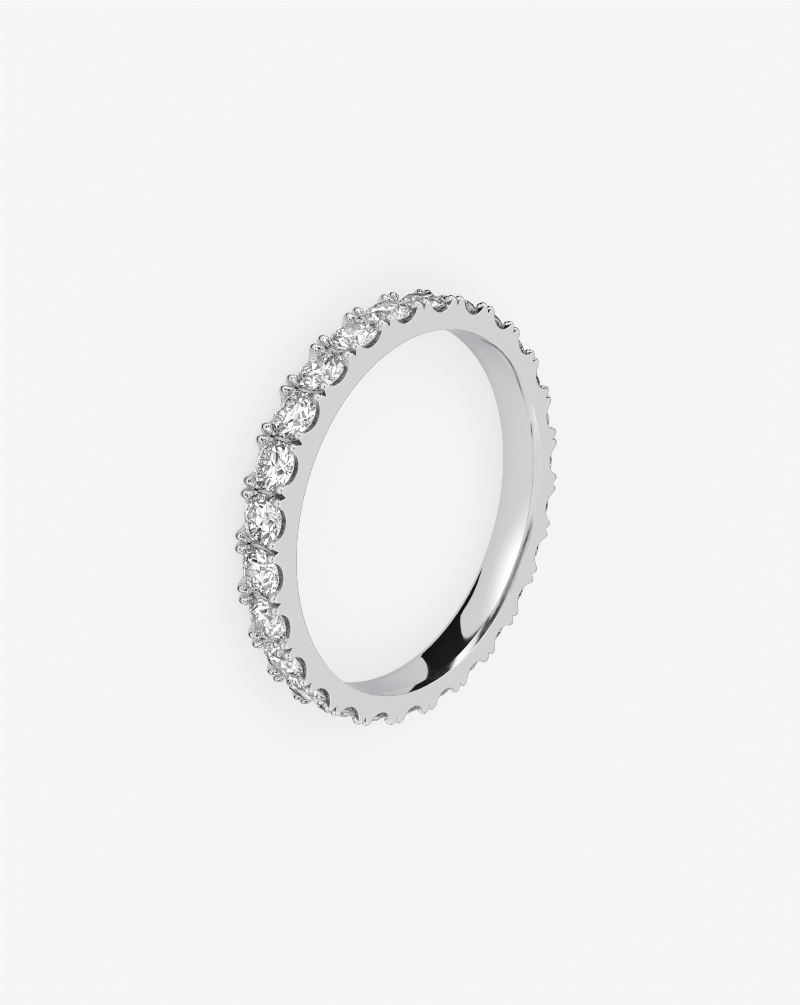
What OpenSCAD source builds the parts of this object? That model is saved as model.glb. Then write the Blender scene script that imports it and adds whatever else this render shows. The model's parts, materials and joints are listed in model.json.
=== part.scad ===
// Full eternity ring: scalloped white metal band with split claws, set with round brilliants.
// It lies on its side: axis along Z, the lower side face at Z = 0, millimetres.

/* [Band] */
// Inner diameter of the finger hole
inner_d = 17; // [16.8:0.1:17.6]
// Width of the band from side face to side face
band_w = 2.3; // [2.3:0.05:2.6]
// Radial height of the shank up to the top of the claw pillars
pillar_h = 1.4; // [1.38:0.01:1.45]
// Axial length of the shallow bevel at each end of the bore
bevel_l = 0.4; // [0.2:0.05:0.6]
// Radial depth of that bevel
bevel_d = 0.06; // [0.03:0.01:0.12]
// Chamfer on the outer corners of the pillars
corner = 0.03; // [0.02:0.01:0.05]

/* [Stones] */
// Number of stones round the band
stone_n = 26; // [24:1:26]
// Girdle diameter of each stone
stone_d = 2.16; // [2.1:0.02:2.16]
// Radial height of the girdle plane above the bore
girdle_h = 1.12; // [1.1:0.01:1.15]
// Table diameter as a share of the girdle diameter
table_share = 0.57; // [0.53:0.01:0.62]
// Angle of the crown kites in degrees
crown_a = 34.5; // [32:0.5:36]
// Angle of the pavilion mains in degrees
pavilion_a = 40.8; // [40:0.1:42]
// Girdle thickness as a share of the diameter
girdle_share = 0.03; // [0.02:0.005:0.04]
// Share of the radius out to which the pavilion mains are whole
lower_share = 0.42; // [0.25:0.01:0.45]
// Gap left between a stone and the metal
seat_gap = 0.02; // [0.01:0.005:0.03]

/* [Scallops and claws] */
// Radius of the scallop cut under each stone
scallop_r = 0.82; // [0.74:0.01:0.83]
// Radial height of the scallop's bottom above the bore
scallop_h = 0.85; // [0.82:0.01:0.95]
// Radial height of the bottom of the notch that splits two claws
notch_h = 1.12; // [1.05:0.01:1.2]
// Half angle of that notch in degrees
notch_a = 26; // [20:1:30]
// Radial height of the lowest line of the dished middle
dish_h = 1.15; // [1.14:0.01:1.2]
// Radius of the dish across the band
dish_r = 1.8; // [1.6:0.05:2]
// Radius of a claw's outer bead
bead_r = 0.2; // [0.18:0.005:0.2]
// Radial height of the bead's centre above the bore
bead_h = 1.365; // [1.34:0.005:1.4]
// Distance of the bead's centre from the notch line
bead_u = 0.285; // [0.26:0.005:0.3]
// Distance of the bead's centre from the side face
bead_in = 0.21; // [0.21:0.01:0.25]
// Radius of the claw's outer end, at the side face
stud_r = 0.15; // [0.14:0.005:0.17]
// Broken edge of that end
stud_edge = 0.04; // [0.02:0.01:0.06]
// Radius of the claw's root, which runs back along the notch
root_r = 0.1; // [0.08:0.005:0.1]
// Radial height of the root's centre above the bore
root_h = 1.29; // [1.26:0.01:1.3]
// Distance of the root's centre from the notch line
root_u = 0.15; // [0.14:0.005:0.17]
// Distance of the root's centre from the side face
root_in = 0.5; // [0.45:0.01:0.6]
// Radius of the claw's inner tip, which leans over the stone
tip_r = 0.155; // [0.14:0.005:0.16]
// Height of the inner tip's centre above the girdle
tip_h = 0.18; // [0.18:0.01:0.2]
// Distance of the inner tip's centre outside the girdle
tip_out = 0.1; // [0.08:0.01:0.12]

/* [Hidden] */

bore_r = inner_d / 2;
mid_z = band_w / 2;
pitch_a = 360 / stone_n;
girdle_r = bore_r + girdle_h;
stone_r = stone_d / 2;
// Length by which a cut runs on past the metal
over = 0.5;
// How much slimmer a claw's cones are than the balls that they join
thinner = 0.01;

function stone_name(i) = str("stone_", i < 10 ? "0" : "", i);

// Heights of a stone's planes, measured from the top edge of its girdle
table_r = stone_r * table_share;
table_z = (stone_r - table_r) * tan(crown_a);
girdle_t = stone_d * girdle_share;
culet_z = -girdle_t - stone_r * tan(pavilion_a);
room_r = stone_r + seat_gap;

// Part of a 45 degree step by which each stone is turned more than the one before it
turn_share = 0.38;

// The facets repeat eight times, so a half step is 22.5 degrees
half_step = 22.5;

star_r = (table_r * cos(half_step) + stone_r) / 2;
star_z = (stone_r - star_r * cos(half_step)) * tan(crown_a);
lower_r = stone_r * lower_share;
lower_z = -girdle_t - (stone_r - lower_r * cos(half_step)) * tan(pavilion_a);

// A half facet meets the round girdle lower at its middle than at its two ends
chord_r = stone_r * cos(half_step / 2);
upper_dip = star_z * (stone_r - chord_r) / (chord_r - star_r * cos(half_step / 2));
lower_dip = (-girdle_t - lower_z) * (stone_r - chord_r) / (chord_r - lower_r * cos(half_step / 2));

function ring_point(r, a, z) = [r * cos(a), r * sin(a), z];

// Point rings of a stone, each counted round its axis
table_ring = [for (k = [0 : 7]) ring_point(table_r, 45 * k, table_z)];
star_ring = [for (k = [0 : 7]) ring_point(star_r, 45 * k + half_step, star_z)];
upper_ring = [for (k = [0 : 31])
    ring_point(stone_r, 11.25 * k, k % 2 == 0 ? 0 : -upper_dip)];
under_ring = [for (k = [0 : 31])
    ring_point(stone_r, 11.25 * k, -girdle_t + (k % 2 == 0 ? 0 : lower_dip))];
lower_ring = [for (k = [0 : 7]) ring_point(lower_r, 45 * k + half_step, lower_z)];
culet_point = [[0, 0, culet_z]];

STAR = 8;
UPPER = 16;
UNDER = 48;
LOWER = 80;
CULET = 88;

function tab(k) = k % 8;
function star(k) = STAR + k % 8;
function upper(k) = UPPER + k % 32;
function under(k) = UNDER + k % 32;
function lower(k) = LOWER + k % 8;

stone_points = concat(table_ring, star_ring, upper_ring, under_ring, lower_ring, culet_point);
stone_faces = concat(
    [[for (k = [7 : -1 : 0]) tab(k)]],
    [for (k = [0 : 7]) [tab(k), tab(k + 1), star(k)]],
    [for (k = [0 : 7]) [tab(k), star(k), upper(4 * k), star(k + 7)]],
    [for (k = [0 : 7]) [star(k), upper(4 * k + 2), upper(4 * k + 1), upper(4 * k)]],
    [for (k = [0 : 7]) [star(k), upper(4 * k + 4), upper(4 * k + 3), upper(4 * k + 2)]],
    [for (k = [0 : 31]) [upper(k), upper(k + 1), under(k + 1), under(k)]],
    [for (k = [0 : 7]) [lower(k), under(4 * k), under(4 * k + 1), under(4 * k + 2)]],
    [for (k = [0 : 7]) [lower(k), under(4 * k + 2), under(4 * k + 3), under(4 * k + 4)]],
    [for (k = [0 : 7]) [CULET, lower(k + 7), under(4 * k), lower(k)]]
);

// Places children in stone i's own frame: Z out along the stone's axis, origin on the girdle
module at_stone(i) {
    rotate([0, 0, pitch_a * i])
        translate([girdle_r, 0, mid_z])
            rotate([0, 90, 0])
                children();
}

// One round brilliant with its table up
module brilliant() {
    polyhedron(points = stone_points, faces = stone_faces);
}

// Seat cut into the band from outside: straight down past the girdle, then clear of all lower facets
module seat() {
    rotate_extrude($fn = 48)
        polygon([
            [0, culet_z - seat_gap],
            [lower_r + seat_gap, lower_z],
            [room_r, -girdle_t - seat_gap],
            [room_r, over],
            [0, over]
        ]);
}

// Room that a stone's crown takes from the claws that lean over it
module crown_room() {
    translate([0, 0, seat_gap])
        cylinder(h = table_z, r1 = room_r, r2 = table_r + seat_gap / cos(crown_a), $fn = 48);
}

// Cross-section of the plain ring, before anything is cut from it
module blank_profile() {
    top_r = bore_r + pillar_h;
    polygon([
        [bore_r, bevel_l],
        [bore_r + bevel_d, 0],
        [top_r - corner, 0],
        [top_r, corner],
        [top_r, band_w - corner],
        [top_r - corner, band_w],
        [bore_r + bevel_d, band_w],
        [bore_r, band_w - bevel_l]
    ]);
}

// Scallop that runs across the band under one stone
module scallop() {
    translate([bore_r + scallop_h + scallop_r, 0, -over])
        cylinder(h = band_w + 2 * over, r = scallop_r, $fn = 64);
}

// Notch that runs across the band and splits a pillar into two claws
module notch() {
    depth = pillar_h - notch_h + over;
    half = depth * tan(notch_a);
    translate([bore_r + notch_h, 0, -over])
        linear_extrude(height = band_w + 2 * over)
            polygon([[0, 0], [depth, -half], [depth, half]]);
}

// Dish round the band, so the pillars rise towards both side faces
module dish() {
    translate([0, 0, mid_z])
        rotate_extrude($fn = 360)
            translate([bore_r + dish_h + dish_r, 0])
                circle(r = dish_r, $fn = 96);
}

// Straight taper from a ball at one place to a ball of its own at another
module limb(from, from_r, to, to_r) {
    step = to - from;
    translate(to)
        sphere(r = to_r, $fn = 32);
    translate(from)
        rotate([0, acos(step[2] / norm(step)), atan2(step[1], step[0])])
            cylinder(h = norm(step), r1 = from_r - thinner, r2 = to_r - thinner, $fn = 32);
}

// Place in the band at a height above the bore, a distance from the notch line and one from mid width
function by_notch(side, h, u, w) =
    let (r = bore_r + h, a = pitch_a / 2 - u / r * 180 / PI) [r * cos(a), side * r * sin(a), w];

// One claw of the stone at angle 0: a bead, a tip that leans over the girdle, a root that runs back
// along the notch, and a stud with a broken edge that ends just short of the side face
module claw(side, face) {
    bead = by_notch(side, bead_h, bead_u, face * (mid_z - bead_in));
    root = by_notch(side, root_h, root_u, face * (mid_z - root_in));
    lean = (stone_r + tip_out) / norm([bead[1], bead[2]]);
    tip = [girdle_r + tip_h, bead[1] * lean, bead[2] * lean];
    limb(bead, bead_r, tip, tip_r);
    limb(bead, bead_r, root, root_r);
    stud_l = bead_in - thinner - stud_edge;
    translate(bead)
        sphere(r = bead_r, $fn = 32);
    translate(bead)
        rotate([face < 0 ? 180 : 0, 0, 0]) {
            cylinder(h = stud_l, r1 = bead_r - thinner, r2 = stud_r, $fn = 32);
            translate([0, 0, stud_l])
                cylinder(h = stud_edge, r1 = stud_r, r2 = stud_r - stud_edge, $fn = 32);
        }
}

module band() {
    color("gainsboro") {
        difference() {
            rotate_extrude($fn = 360)
                blank_profile();
            dish();
            for (i = [0 : stone_n - 1]) {
                rotate([0, 0, pitch_a * i])
                    scallop();
                rotate([0, 0, pitch_a * (i + 0.5)])
                    notch();
                at_stone(i)
                    seat();
            }
        }
        difference() {
            for (i = [0 : stone_n - 1])
                rotate([0, 0, pitch_a * i])
                    translate([0, 0, mid_z])
                        for (side = [-1, 1], face = [-1, 1])
                            claw(side, face);
            for (i = [0 : stone_n - 1])
                at_stone(i)
                    crown_room();
        }
    }
}

// Stone i of the row, counted from 1 at angle 0, each set at a turn of its own
module stone(i) {
    color("white")
        at_stone(i - 1)
            rotate([0, 0, 45 * (i * turn_share % 1)])
                brilliant();
}

band();
for (i = [1 : stone_n])
    stone(i);
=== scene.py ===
# Diamond eternity band, lying on its side on a pale studio floor.
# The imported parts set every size. This script adds the polish, the clear stones, the light and the camera.

import json
from collections import namedtuple
from math import ceil, cos, radians, sin, tau

import bpy
from mathutils import Matrix, Vector


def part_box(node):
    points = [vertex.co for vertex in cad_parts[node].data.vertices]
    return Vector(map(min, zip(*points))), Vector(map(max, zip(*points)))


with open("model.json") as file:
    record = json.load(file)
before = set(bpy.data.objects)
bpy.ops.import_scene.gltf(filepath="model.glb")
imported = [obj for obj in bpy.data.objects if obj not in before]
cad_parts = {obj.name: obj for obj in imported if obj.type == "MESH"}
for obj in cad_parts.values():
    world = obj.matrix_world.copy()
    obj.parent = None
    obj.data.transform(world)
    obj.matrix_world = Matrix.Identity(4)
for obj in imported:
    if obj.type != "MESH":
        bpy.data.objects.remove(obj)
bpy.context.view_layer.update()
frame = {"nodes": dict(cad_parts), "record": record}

bl_info = {
    "name": "Diamond Eternity Band",
    "version": (1, 0, 0),
    "blender": (4, 5, 0),
    "location": "View3D > Sidebar > Diamond Band",
    "description": "White metal band with split claws, set all round with brilliant-cut stones",
    "category": "Object",
}

MM = 0.001
BAND = frame["nodes"]["band"]
STONES = [frame["nodes"][name] for name in sorted(frame["nodes"]) if name.startswith("stone_")]
PITCH = tau / len(STONES)
FINGER_HOLE = next(m for m in frame["record"]["mounts"] if m["name"] == "finger_hole")
BORE_R = FINGER_HOLE["dims"]["r_mm"] * MM
BAND_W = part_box("band")[1].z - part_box("band")[0].z
MID_Z = BAND_W / 2
GIRDLE_EDGE = max((STONES[0].matrix_world @ v.co for v in STONES[0].data.vertices), key=lambda place: place.z)
GIRDLE_R = GIRDLE_EDGE.xy.length


class BandFinish(bpy.types.PropertyGroup):
    """What a user may change about the polished metal."""
    colour: bpy.props.FloatVectorProperty(
        name="Metal colour", description="Colour of the polished white metal",
        default=(0.74, 0.74, 0.747), size=3, min=0, max=1, subtype="COLOR")
    roughness: bpy.props.FloatProperty(
        name="Roughness", description="How soft the reflections are where the polish is best",
        default=0.05, min=0, max=1, subtype="FACTOR")
    polish_line: bpy.props.FloatProperty(
        name="Polish line depth", description="Depth of the fine lines that polishing leaves round the band",
        default=0.4e-6, min=0, max=5e-6, unit="LENGTH")
    waviness: bpy.props.FloatProperty(
        name="Waviness", description="Height of the slow unevenness of a hand-polished face",
        default=1.2e-6, min=0, max=2e-5, unit="LENGTH")
    edge_radius: bpy.props.FloatProperty(
        name="Edge radius", description="How far the polish rounds the metal's edges",
        default=0.05 * MM, min=0, max=0.1 * MM, unit="LENGTH")
    edge_tint: bpy.props.FloatVectorProperty(
        name="Edge tint", description="Colour that the metal mirrors with where it turns away",
        default=(0.65, 0.65, 0.66), size=3, min=0, max=1, subtype="COLOR")
    seat_roughness: bpy.props.FloatProperty(
        name="Seat roughness", description="How rough the cutter leaves the metal under the stones",
        default=0.25, min=0, max=1, subtype="FACTOR")
    # Painted shade: the metal under the stones is drawn darker, as a stand-in for the shade that falls in the
    # seats
    painted_seat_shade: bpy.props.FloatProperty(
        name="Seat shade", description="Brightness of the metal under the stones, as a share of the rest's",
        default=0.85, min=0, max=1, subtype="FACTOR")


class StoneFinish(bpy.types.PropertyGroup):
    """What a user may change about the stones."""
    refraction: bpy.props.FloatProperty(
        name="Refractive index", description="How strongly a stone bends light",
        default=2.417, min=1.3, max=3)
    girdle_frost: bpy.props.FloatProperty(
        name="Girdle frost", description="Roughness of the ground edge round each stone",
        default=0.35, min=0, max=1, subtype="FACTOR")


class StudioSet(bpy.types.PropertyGroup):
    """Floor, light and camera."""
    floor_size: bpy.props.FloatProperty(
        name="Floor size", description="Side of the square floor", default=1.2, min=0.2, unit="LENGTH")
    floor_colour: bpy.props.FloatVectorProperty(
        name="Floor colour", description="Colour of the matt pane that the ring lies on",
        default=(0.2, 0.2, 0.2), size=3, min=0, max=1, subtype="COLOR")
    floor_glow: bpy.props.FloatProperty(
        name="Floor glow", description="Even light that comes up through the pane, as on a light table",
        default=0.737, min=0)
    sky_level: bpy.props.FloatProperty(
        name="Room brightness", description="Brightness of the pale room round the ring", default=1.28, min=0)
    azimuth: bpy.props.FloatProperty(
        name="Camera azimuth", description="Angle round the ring, from the front towards the right",
        default=radians(-5.62), subtype="ANGLE")
    elevation: bpy.props.FloatProperty(
        name="Camera elevation", description="Angle above the plane of the ring",
        default=radians(38.09), subtype="ANGLE")
    roll: bpy.props.FloatProperty(
        name="Camera roll", description="Turn of the camera about its own axis",
        default=radians(-105.88), subtype="ANGLE")
    distance: bpy.props.FloatProperty(
        name="Camera distance", description="Distance from the middle of the ring",
        default=0.08265, min=0.02, unit="LENGTH")
    aim: bpy.props.FloatVectorProperty(
        name="Aim", description="Point that the camera looks at",
        default=(-0.00024, -0.00027, 0.00079), size=3, subtype="XYZ", unit="LENGTH")
    lens: bpy.props.FloatProperty(
        name="Lens", description="Focal length in millimetres for a 36 mm sensor", default=64.24, min=10)


# Nodes that all the finishes share

WHITE = (1, 1, 1, 1)


def opaque(colour, share=1):
    """Shader colour from red, green and blue, at a share of their brightness."""
    return (*[share * channel for channel in colour], 1)


def fill(node, inputs):
    """Link inputs of a node to other nodes' results, or set them to plain values."""
    for key, value in inputs.items():
        if isinstance(value, bpy.types.NodeSocket):
            node.id_data.links.new(value, node.inputs[key])
        else:
            node.inputs[key].default_value = value


def add_node(tree, kind, inputs=None, **settings):
    """Add a shader node, set its settings and fill its inputs."""
    made = tree.nodes.new(kind)
    for name, value in settings.items():
        setattr(made, name, value)
    fill(made, inputs or {})
    return made


def maths(tree, operation, *values):
    """Result of one maths node."""
    return add_node(tree, "ShaderNodeMath", dict(enumerate(values)), operation=operation).outputs[0]


def mixed(tree, share, first, second, kind="FLOAT"):
    """Number between two others, or colour with the kind RGBA, by the share of the second."""
    inputs = {"Factor": share, "A": first, "B": second}
    return add_node(tree, "ShaderNodeMix", inputs, data_type=kind).outputs["Result"]


def noise(tree, inputs):
    """Soft noise from 0 to 1."""
    return add_node(tree, "ShaderNodeTexNoise", inputs).outputs[0]


def bumpy(tree, height, depth, normal):
    """Normal with bumps of the given depth on it."""
    inputs = {"Height": height, "Distance": depth, "Strength": 1.0, "Normal": normal}
    return add_node(tree, "ShaderNodeBump", inputs).outputs[0]


def new_material(name):
    """A material with only its output and its main shader, returned with its node tree and that shader."""
    material = bpy.data.materials.new(name)
    material.use_nodes = True
    tree = material.node_tree
    tree.nodes.clear()
    shader = add_node(tree, "ShaderNodeBsdfPrincipled")
    add_node(tree, "ShaderNodeOutputMaterial", {"Surface": shader.outputs[0]})
    return material, tree, shader


def ring_coordinates(tree):
    """Place on the part, distance from the ring's axis, angle round it and height, as four results."""
    place = add_node(tree, "ShaderNodeTexCoord").outputs["Object"]
    x, y, z = add_node(tree, "ShaderNodeSeparateXYZ", {0: place}).outputs
    squares = maths(tree, "ADD", maths(tree, "MULTIPLY", x, x), maths(tree, "MULTIPLY", y, y))
    radius = maths(tree, "SQRT", squares)
    angle = maths(tree, "ARCTAN2", y, x)
    return place, radius, angle, z


# Band: polished white metal, with rougher seats under the stones and painted shade in them

# Distances from the ring's axis between which the seats and scallops are cut
SEAT_FOOT_R = BORE_R + 0.4 * MM
SEAT_TOP_R = GIRDLE_R - 0.03 * MM
# A face whose normal stands more upright than this belongs to the polished sides
SIDE_UPRIGHT = 0.6
# Fineness of the polishing lines and of the slow waves under them
LINE_SCALE = 14000.0
WAVE_SCALE = 900.0
# The lines are drawn out round the band: the way round counts this much beside the way across
LINE_DRAW = 0.02
# Brightness in the lines, as a share of the metal's own
LINE_SHADE = 0.965
# The waves' heights between which the polish goes from best to worn, and how much rougher it gets
WORN_FROM = 0.3
WORN_TO = 0.75
WORN_ROUGHER = 0.05


def under_stones(tree, radius, upright):
    """1 on the cut metal below the girdles, in the seats and scallops, where it is rougher and painted darker
    as shade, and 0 on all that is polished.
    """
    below = maths(tree, "LESS_THAN", radius, SEAT_TOP_R)
    outside = maths(tree, "GREATER_THAN", radius, SEAT_FOOT_R)
    steep = maths(tree, "LESS_THAN", upright, SIDE_UPRIGHT)
    return maths(tree, "MULTIPLY", maths(tree, "MULTIPLY", below, outside), steep)


def polished_metal(finish):
    """White metal: a bright polish with faint lines round the band, and rougher seats under the stones with
    painted shade on them.
    """
    material, tree, shader = new_material("polished_white_metal")
    place, radius, angle, height = ring_coordinates(tree)
    facing = add_node(tree, "ShaderNodeNewGeometry").outputs["True Normal"]
    upright = maths(tree, "ABSOLUTE", add_node(tree, "ShaderNodeSeparateXYZ", {0: facing}).outputs["Z"])
    seat = under_stones(tree, radius, upright)
    rounded = add_node(tree, "ShaderNodeBevel", {"Radius": finish.edge_radius}, samples=8)
    way_round = maths(tree, "MULTIPLY", maths(tree, "MULTIPLY", angle, BORE_R), LINE_DRAW)
    drawn = add_node(tree, "ShaderNodeCombineXYZ", {0: radius, 1: way_round, 2: height}).outputs[0]
    lines = noise(tree, {"Vector": drawn, "Scale": LINE_SCALE, "Detail": 3.0})
    waves = noise(tree, {"Vector": place, "Scale": WAVE_SCALE, "Detail": 2.0})
    wavy = bumpy(tree, waves, finish.waviness, rounded.outputs[0])
    worn = add_node(tree, "ShaderNodeMapRange",
                    {"Value": waves, "From Min": WORN_FROM, "From Max": WORN_TO,
                     "To Min": finish.roughness, "To Max": finish.roughness + WORN_ROUGHER})
    polish = mixed(tree, lines, opaque(finish.colour), opaque(finish.colour, LINE_SHADE), "RGBA")
    fill(shader, {
        "Metallic": 1,
        # Painted shade: under the stones the metal's colour is darkened as a stand-in for the shade in the
        # seats; the rougher finish there is real
        "Base Color": mixed(tree, seat, polish, opaque(finish.colour, finish.painted_seat_shade), "RGBA"),
        "Roughness": mixed(tree, seat, worn.outputs[0], finish.seat_roughness),
        "Specular Tint": opaque(finish.edge_tint),
        "Normal": bumpy(tree, lines, finish.polish_line, wavy),
    })
    return material


# Stones: clear facets and a ground girdle

# A facet belongs to the girdle where its normal's share along the stone's axis is less than this
GIRDLE_LEAN = 0.1


def brilliant_cut_stone(finish):
    """Colourless stone with clear facets and a ground girdle."""
    material, tree, shader = new_material("brilliant_cut_stone")
    angle = ring_coordinates(tree)[2]
    own_angle = maths(tree, "MULTIPLY", maths(tree, "ROUND", maths(tree, "DIVIDE", angle, PITCH)), PITCH)
    axis = add_node(tree, "ShaderNodeCombineXYZ",
                    {0: maths(tree, "COSINE", own_angle), 1: maths(tree, "SINE", own_angle)})
    facet = add_node(tree, "ShaderNodeNewGeometry").outputs["True Normal"]
    lean = add_node(tree, "ShaderNodeVectorMath", {0: facet, 1: axis.outputs[0]}, operation="DOT_PRODUCT")
    girdle = maths(tree, "LESS_THAN", maths(tree, "ABSOLUTE", lean.outputs["Value"]), GIRDLE_LEAN)
    fill(shader, {
        "Base Color": WHITE,
        "Transmission Weight": 1,
        "IOR": finish.refraction,
        "Roughness": maths(tree, "MULTIPLY", girdle, finish.girdle_frost),
    })
    return material


def wear(obj, material):
    """Give a part one material on all its faces."""
    obj.data.materials.clear()
    obj.data.materials.append(material)


class DIAMONDBAND_OT_band(bpy.types.Operator):
    """Polish the band with its scallops and split claws"""
    bl_idname = "diamond_band.band"
    bl_label = "Band"

    def execute(self, context):
        wear(BAND, polished_metal(context.scene.band_finish))
        return {"FINISHED"}


class DIAMONDBAND_OT_stones(bpy.types.Operator):
    """Give every brilliant-cut stone its clear facets and ground girdle"""
    bl_idname = "diamond_band.stones"
    bl_label = "Stones"

    def execute(self, context):
        material = brilliant_cut_stone(context.scene.stone_finish)
        for stone in STONES:
            wear(stone, material)
            for face in stone.data.polygons:
                face.use_smooth = False
        return {"FINISHED"}


# Light: a pale room, seen as a plain pale wall

Patch = namedtuple("Patch", "azimuth elevation radius soft level")

# Dark and pale places of the room, by the direction in degrees that they are seen in from the ring
ROOM = [
    Patch(azimuth=0, elevation=90, radius=20, soft=5, level=0.8),
    Patch(azimuth=-6, elevation=44, radius=14, soft=1, level=0.0),
    Patch(azimuth=-44, elevation=44, radius=14, soft=1, level=0.0),
    Patch(azimuth=32, elevation=44, radius=14, soft=1, level=0.0),
    Patch(azimuth=-6, elevation=66, radius=9, soft=1, level=0.0),
    Patch(azimuth=-4, elevation=4, radius=5, soft=1, level=0.0),
    Patch(azimuth=-30, elevation=12, radius=6, soft=1, level=0.0),
    Patch(azimuth=18, elevation=20, radius=6, soft=1, level=0.0),
    Patch(azimuth=52, elevation=10, radius=7, soft=1, level=0.0),
    Patch(azimuth=118, elevation=4, radius=14, soft=3, level=0.0),
    Patch(azimuth=145, elevation=4, radius=16, soft=3, level=0.0),
    Patch(azimuth=175, elevation=4, radius=16, soft=3, level=0.0),
    Patch(azimuth=205, elevation=4, radius=16, soft=3, level=0.0),
    Patch(azimuth=232, elevation=4, radius=14, soft=3, level=0.0),
    Patch(azimuth=175, elevation=36, radius=15, soft=4, level=0.9),
    Patch(azimuth=97, elevation=24, radius=14, soft=2, level=0.0),
    Patch(azimuth=40, elevation=40, radius=12, soft=2, level=0.0),
    Patch(azimuth=225, elevation=22, radius=12, soft=2, level=0.0),
]
# Brightness of the wall behind the floor, like the floor's own
WALL_TONE = 0.913


def direction(azimuth, elevation):
    """Unit vector from the ring, azimuth 0 towards the front and a quarter turn towards the right."""
    return Vector((sin(azimuth) * cos(elevation), -cos(azimuth) * cos(elevation), sin(elevation)))


def studio_room(level):
    """World light: a pale room with dark and pale places, and a plain pale wall to look at."""
    world = bpy.data.worlds.new("studio_room")
    world.use_nodes = True
    tree = world.node_tree
    tree.nodes.clear()
    towards = add_node(tree, "ShaderNodeTexCoord").outputs["Generated"]
    light = level
    for patch in ROOM:
        middle = direction(radians(patch.azimuth), radians(patch.elevation))
        near = add_node(tree, "ShaderNodeVectorMath", {0: towards, 1: middle}, operation="DOT_PRODUCT")
        inside = add_node(tree, "ShaderNodeMapRange",
                          {"Value": near.outputs["Value"],
                           "From Min": cos(radians(patch.radius + patch.soft)),
                           "From Max": cos(radians(patch.radius - patch.soft))},
                          interpolation_type="SMOOTHSTEP")
        light = mixed(tree, inside.outputs[0], light, patch.level)
    seen = add_node(tree, "ShaderNodeLightPath").outputs["Is Camera Ray"]
    shown = mixed(tree, seen, light, WALL_TONE)
    glow = add_node(tree, "ShaderNodeBackground", {"Color": WHITE, "Strength": shown})
    add_node(tree, "ShaderNodeOutputWorld", {"Surface": glow.outputs[0]})
    return world


# Floor: a glowing matt pane

# Fineness of the pane's grain, and brightness of its darker grains as a share of the pane's own
GRAIN_SCALE = 300.0
GRAIN_SHADE = 0.99


def flat_sheet(name, outline, height, material):
    """Flat sheet of the stage with the given outline."""
    mesh = bpy.data.meshes.new(name)
    mesh.from_pydata([(x, y, height) for x, y in outline], [], [tuple(range(len(outline)))])
    mesh.materials.append(material)
    sheet = bpy.data.objects.new(name, mesh)
    bpy.context.scene.collection.objects.link(sheet)
    return sheet


def matt_glow(shader, colour, tone):
    """Make a shader matt, with light of its own."""
    fill(shader, {
        "Base Color": colour,
        "Specular IOR Level": 0.0,
        "Emission Color": WHITE,
        "Emission Strength": tone,
    })


def pale_floor(studio):
    """Square matt pane, evenly lit from below, at the height that the ring lies on."""
    material, tree, shader = new_material("pale_floor")
    grain = noise(tree, {"Scale": GRAIN_SCALE, "Detail": 2.0})
    pale, darker = opaque(studio.floor_colour), opaque(studio.floor_colour, GRAIN_SHADE)
    matt_glow(shader, mixed(tree, grain, pale, darker, "RGBA"), studio.floor_glow)
    fill(shader, {"Roughness": 0.9})
    half = studio.floor_size / 2
    flat_sheet("studio_floor", [(-half, -half), (half, -half), (half, half), (-half, half)], 0, material)


# Cards on the pane for the metal to mirror, in millimetres from the ring's axis and degrees from the right

CARD_COLOUR = opaque((0.02, 0.02, 0.02))
# Brightness of the dark cards, of the grey one and in the middle of the bright one
DARK_TONE = 0.0
GREY_TONE = 0.12
LAMP_TONE = 1.5
# Height in metres that a card lies above the pane, or above the card under it
CARD_LIFT = 0.001 * MM
# Degrees from point to point along an arc
ARC_STEP = 2

ArcCard = namedtuple("ArcCard", "name heart inner outer start end tone")

# Cards between two arcs about one heart. The collar goes all the way round, to just before its start.
ARC_CARDS = [
    ArcCard("collar_card", heart=(0, 0), inner=10.08, outer=10.35, start=0, end=359.99, tone=DARK_TONE),
    ArcCard("fan_card", heart=(0, 0), inner=10.45, outer=16.0, start=100, end=190, tone=DARK_TONE),
    ArcCard("bib_card", heart=(0, 0), inner=11.3, outer=12.6, start=195, end=355, tone=GREY_TONE),
    ArcCard("sickle_card", heart=(1.0, 3.05), inner=1.35, outer=1.8, start=120, end=258, tone=DARK_TONE),
    ArcCard("brow_card", heart=(-3.15, 1.45), inner=4.33, outer=4.39, start=50, end=150, tone=DARK_TONE),
    ArcCard("temple_card", heart=(-1.35, 3.6), inner=1.3, outer=1.8, start=0, end=50, tone=DARK_TONE),
]

# Hook-shaped card inside the ring: its sides, its top corner, its inner bend and its arc along the bore
HOOK_LEFT = 2.0
HOOK_RIGHT = 6.95
HOOK_LOW = 4.65
HOOK_HIGH = 5.65
HOOK_TOP = (4.5, 6.9)
HOOK_BEND_R = 0.9
HOOK_WALL_GAP = 0.05
HOOK_WALL_START = 35
HOOK_WALL_END = 73

# Middle and radius of the round bright card
GLEAM_HEART = (1.2, 5.6)
GLEAM_R = 1.7


def arc(heart, radius, start, end):
    """Points along an arc from one angle to another."""
    steps = ceil(abs(end - start) / ARC_STEP)
    turns = [radians(start + (end - start) * step / steps) for step in range(steps + 1)]
    return [(heart[0] + radius * cos(turn), heart[1] + radius * sin(turn)) for turn in turns]


def arc_outline(card):
    """Outline of a card between two arcs."""
    outer = arc(card.heart, card.outer, card.start, card.end)
    inner = arc(card.heart, card.inner, card.end, card.start)
    return outer + inner


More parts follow.
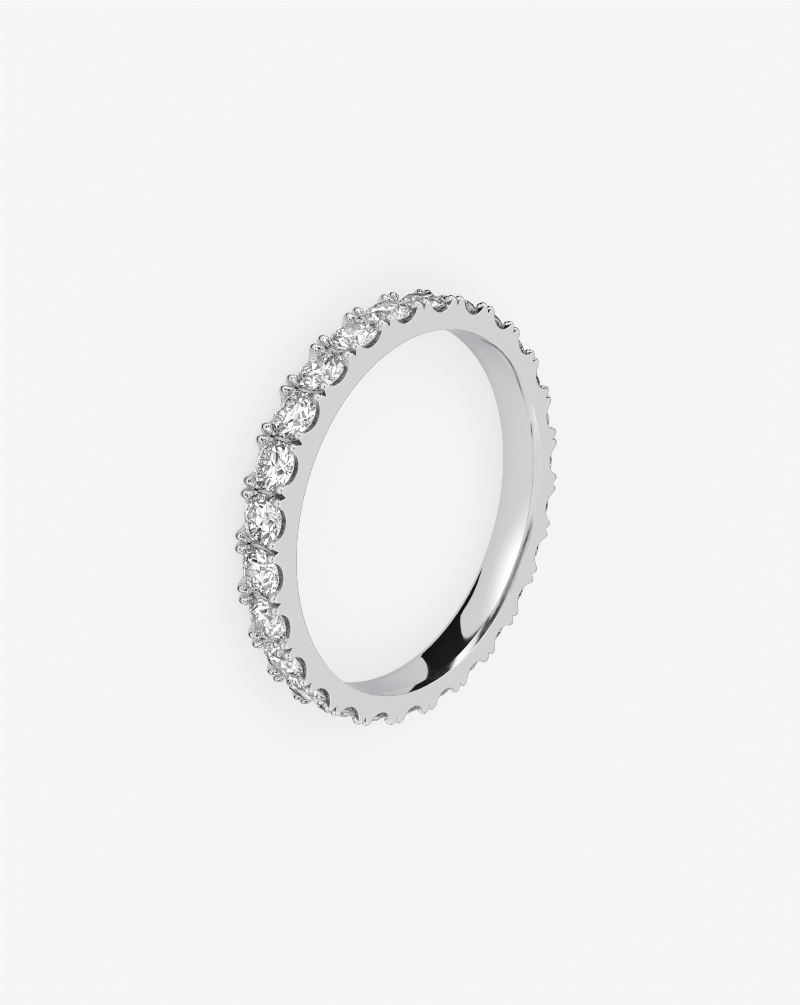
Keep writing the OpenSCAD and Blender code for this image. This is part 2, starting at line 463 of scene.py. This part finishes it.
def hook_outline():
    """Outline of the card that makes the dark place low in the bore."""
    wall = arc((0, 0), BORE_R / MM - HOOK_WALL_GAP, HOOK_WALL_START, HOOK_WALL_END)
    bend = arc((HOOK_TOP[0] - HOOK_BEND_R, HOOK_HIGH + HOOK_BEND_R), HOOK_BEND_R, 0, -90)
    return [(HOOK_LEFT, HOOK_LOW), (HOOK_RIGHT, HOOK_LOW), *wall, HOOK_TOP, *bend, (HOOK_LEFT, HOOK_HIGH)]


def card_finish(name, tone):
    """Matt card with an even tone."""
    material, _, shader = new_material(name)
    matt_glow(shader, CARD_COLOUR, tone)
    return material


def lamp_finish():
    """Matt card that shines in its middle and fades to the wall's tone at its edge."""
    material, tree, shader = new_material("bright_card")
    place = add_node(tree, "ShaderNodeTexCoord").outputs["Object"]
    middle = (GLEAM_HEART[0] * MM, GLEAM_HEART[1] * MM, 0)
    far = add_node(tree, "ShaderNodeVectorMath", {0: place, 1: middle}, operation="DISTANCE")
    shine = add_node(tree, "ShaderNodeMapRange",
                     {"Value": far.outputs["Value"], "From Min": 0.0, "From Max": GLEAM_R * MM,
                      "To Min": LAMP_TONE, "To Max": WALL_TONE},
                     interpolation_type="SMOOTHSTEP")
    matt_glow(shader, CARD_COLOUR, shine.outputs[0])
    return material


def lay_card(name, outline, material, lift=2 * CARD_LIFT):
    """Card on the pane that only mirroring faces see."""
    card = flat_sheet(name, [(x * MM, y * MM) for x, y in outline], lift, material)
    card.visible_camera = False
    card.visible_diffuse = False
    card.visible_transmission = False
    card.visible_shadow = False


def mirror_cards():
    """Cards whose mirror images are the metal's dark lines, its dark place and its gleam."""
    finish = {DARK_TONE: card_finish("dark_card", DARK_TONE), GREY_TONE: card_finish("grey_card", GREY_TONE)}
    for card in ARC_CARDS:
        lay_card(card.name, arc_outline(card), finish[card.tone])
    lay_card("hook_card", hook_outline(), finish[DARK_TONE])
    lay_card("gleam_card", arc(GLEAM_HEART, GLEAM_R, 0, 360 - ARC_STEP), lamp_finish(), CARD_LIFT)


def studio_camera(studio):
    """Camera at the photograph's angle to the ring, turned about its own axis."""
    camera = bpy.data.objects.new("studio_camera", bpy.data.cameras.new("studio_camera"))
    bpy.context.scene.collection.objects.link(camera)
    camera.data.lens = studio.lens
    camera.data.clip_start = 0.005
    camera.data.clip_end = 5.0
    place = Vector((0, 0, MID_Z)) + studio.distance * direction(studio.azimuth, studio.elevation)
    forward = (Vector(studio.aim) - place).normalized()
    level_right = forward.cross(Vector((0, 0, 1))).normalized()
    level_up = level_right.cross(forward)
    up = cos(studio.roll) * level_up + sin(studio.roll) * level_right
    right = forward.cross(up)
    turn = Matrix((right, up, -forward)).transposed()
    camera.matrix_world = Matrix.Translation(place) @ turn.to_4x4()
    bpy.context.scene.camera = camera


def light_paths(cycles):
    """Let light find its way through the stones, and keep the picture sharp and clean."""
    cycles.max_bounces = 24
    cycles.glossy_bounces = 16
    cycles.transmission_bounces = 16
    cycles.caustics_reflective = False
    cycles.use_denoising = True
    cycles.filter_width = 1.0


class DIAMONDBAND_OT_stage(bpy.types.Operator):
    """Make the floor, its cards, the light of the room and the camera"""
    bl_idname = "diamond_band.stage"
    bl_label = "Stage"

    def execute(self, context):
        studio = context.scene.studio_set
        pale_floor(studio)
        mirror_cards()
        context.scene.world = studio_room(studio.sky_level)
        context.scene.view_settings.view_transform = "Standard"
        light_paths(context.scene.cycles)
        studio_camera(studio)
        return {"FINISHED"}


class DIAMONDBAND_PT_panel(bpy.types.Panel):
    """The steps that make the band and its stage"""
    bl_label = "Diamond Band"
    bl_idname = "DIAMONDBAND_PT_panel"
    bl_space_type = "VIEW_3D"
    bl_region_type = "UI"
    bl_category = "Diamond Band"

    def draw(self, context):
        for operator in OPERATORS:
            self.layout.operator(operator.bl_idname)


SETTINGS = {"band_finish": BandFinish, "stone_finish": StoneFinish, "studio_set": StudioSet}
OPERATORS = (DIAMONDBAND_OT_stage, DIAMONDBAND_OT_band, DIAMONDBAND_OT_stones)
CLASSES = (*SETTINGS.values(), *OPERATORS, DIAMONDBAND_PT_panel)


def register():
    for item in CLASSES:
        bpy.utils.register_class(item)
    for name, group in SETTINGS.items():
        setattr(bpy.types.Scene, name, bpy.props.PointerProperty(type=group))


def unregister():
    for name in SETTINGS:
        delattr(bpy.types.Scene, name)
    for item in reversed(CLASSES):
        bpy.utils.unregister_class(item)


def main():
    register()
    bpy.ops.diamond_band.stage()
    bpy.ops.diamond_band.band()
    bpy.ops.diamond_band.stones()


if __name__ == "__main__":
    main()
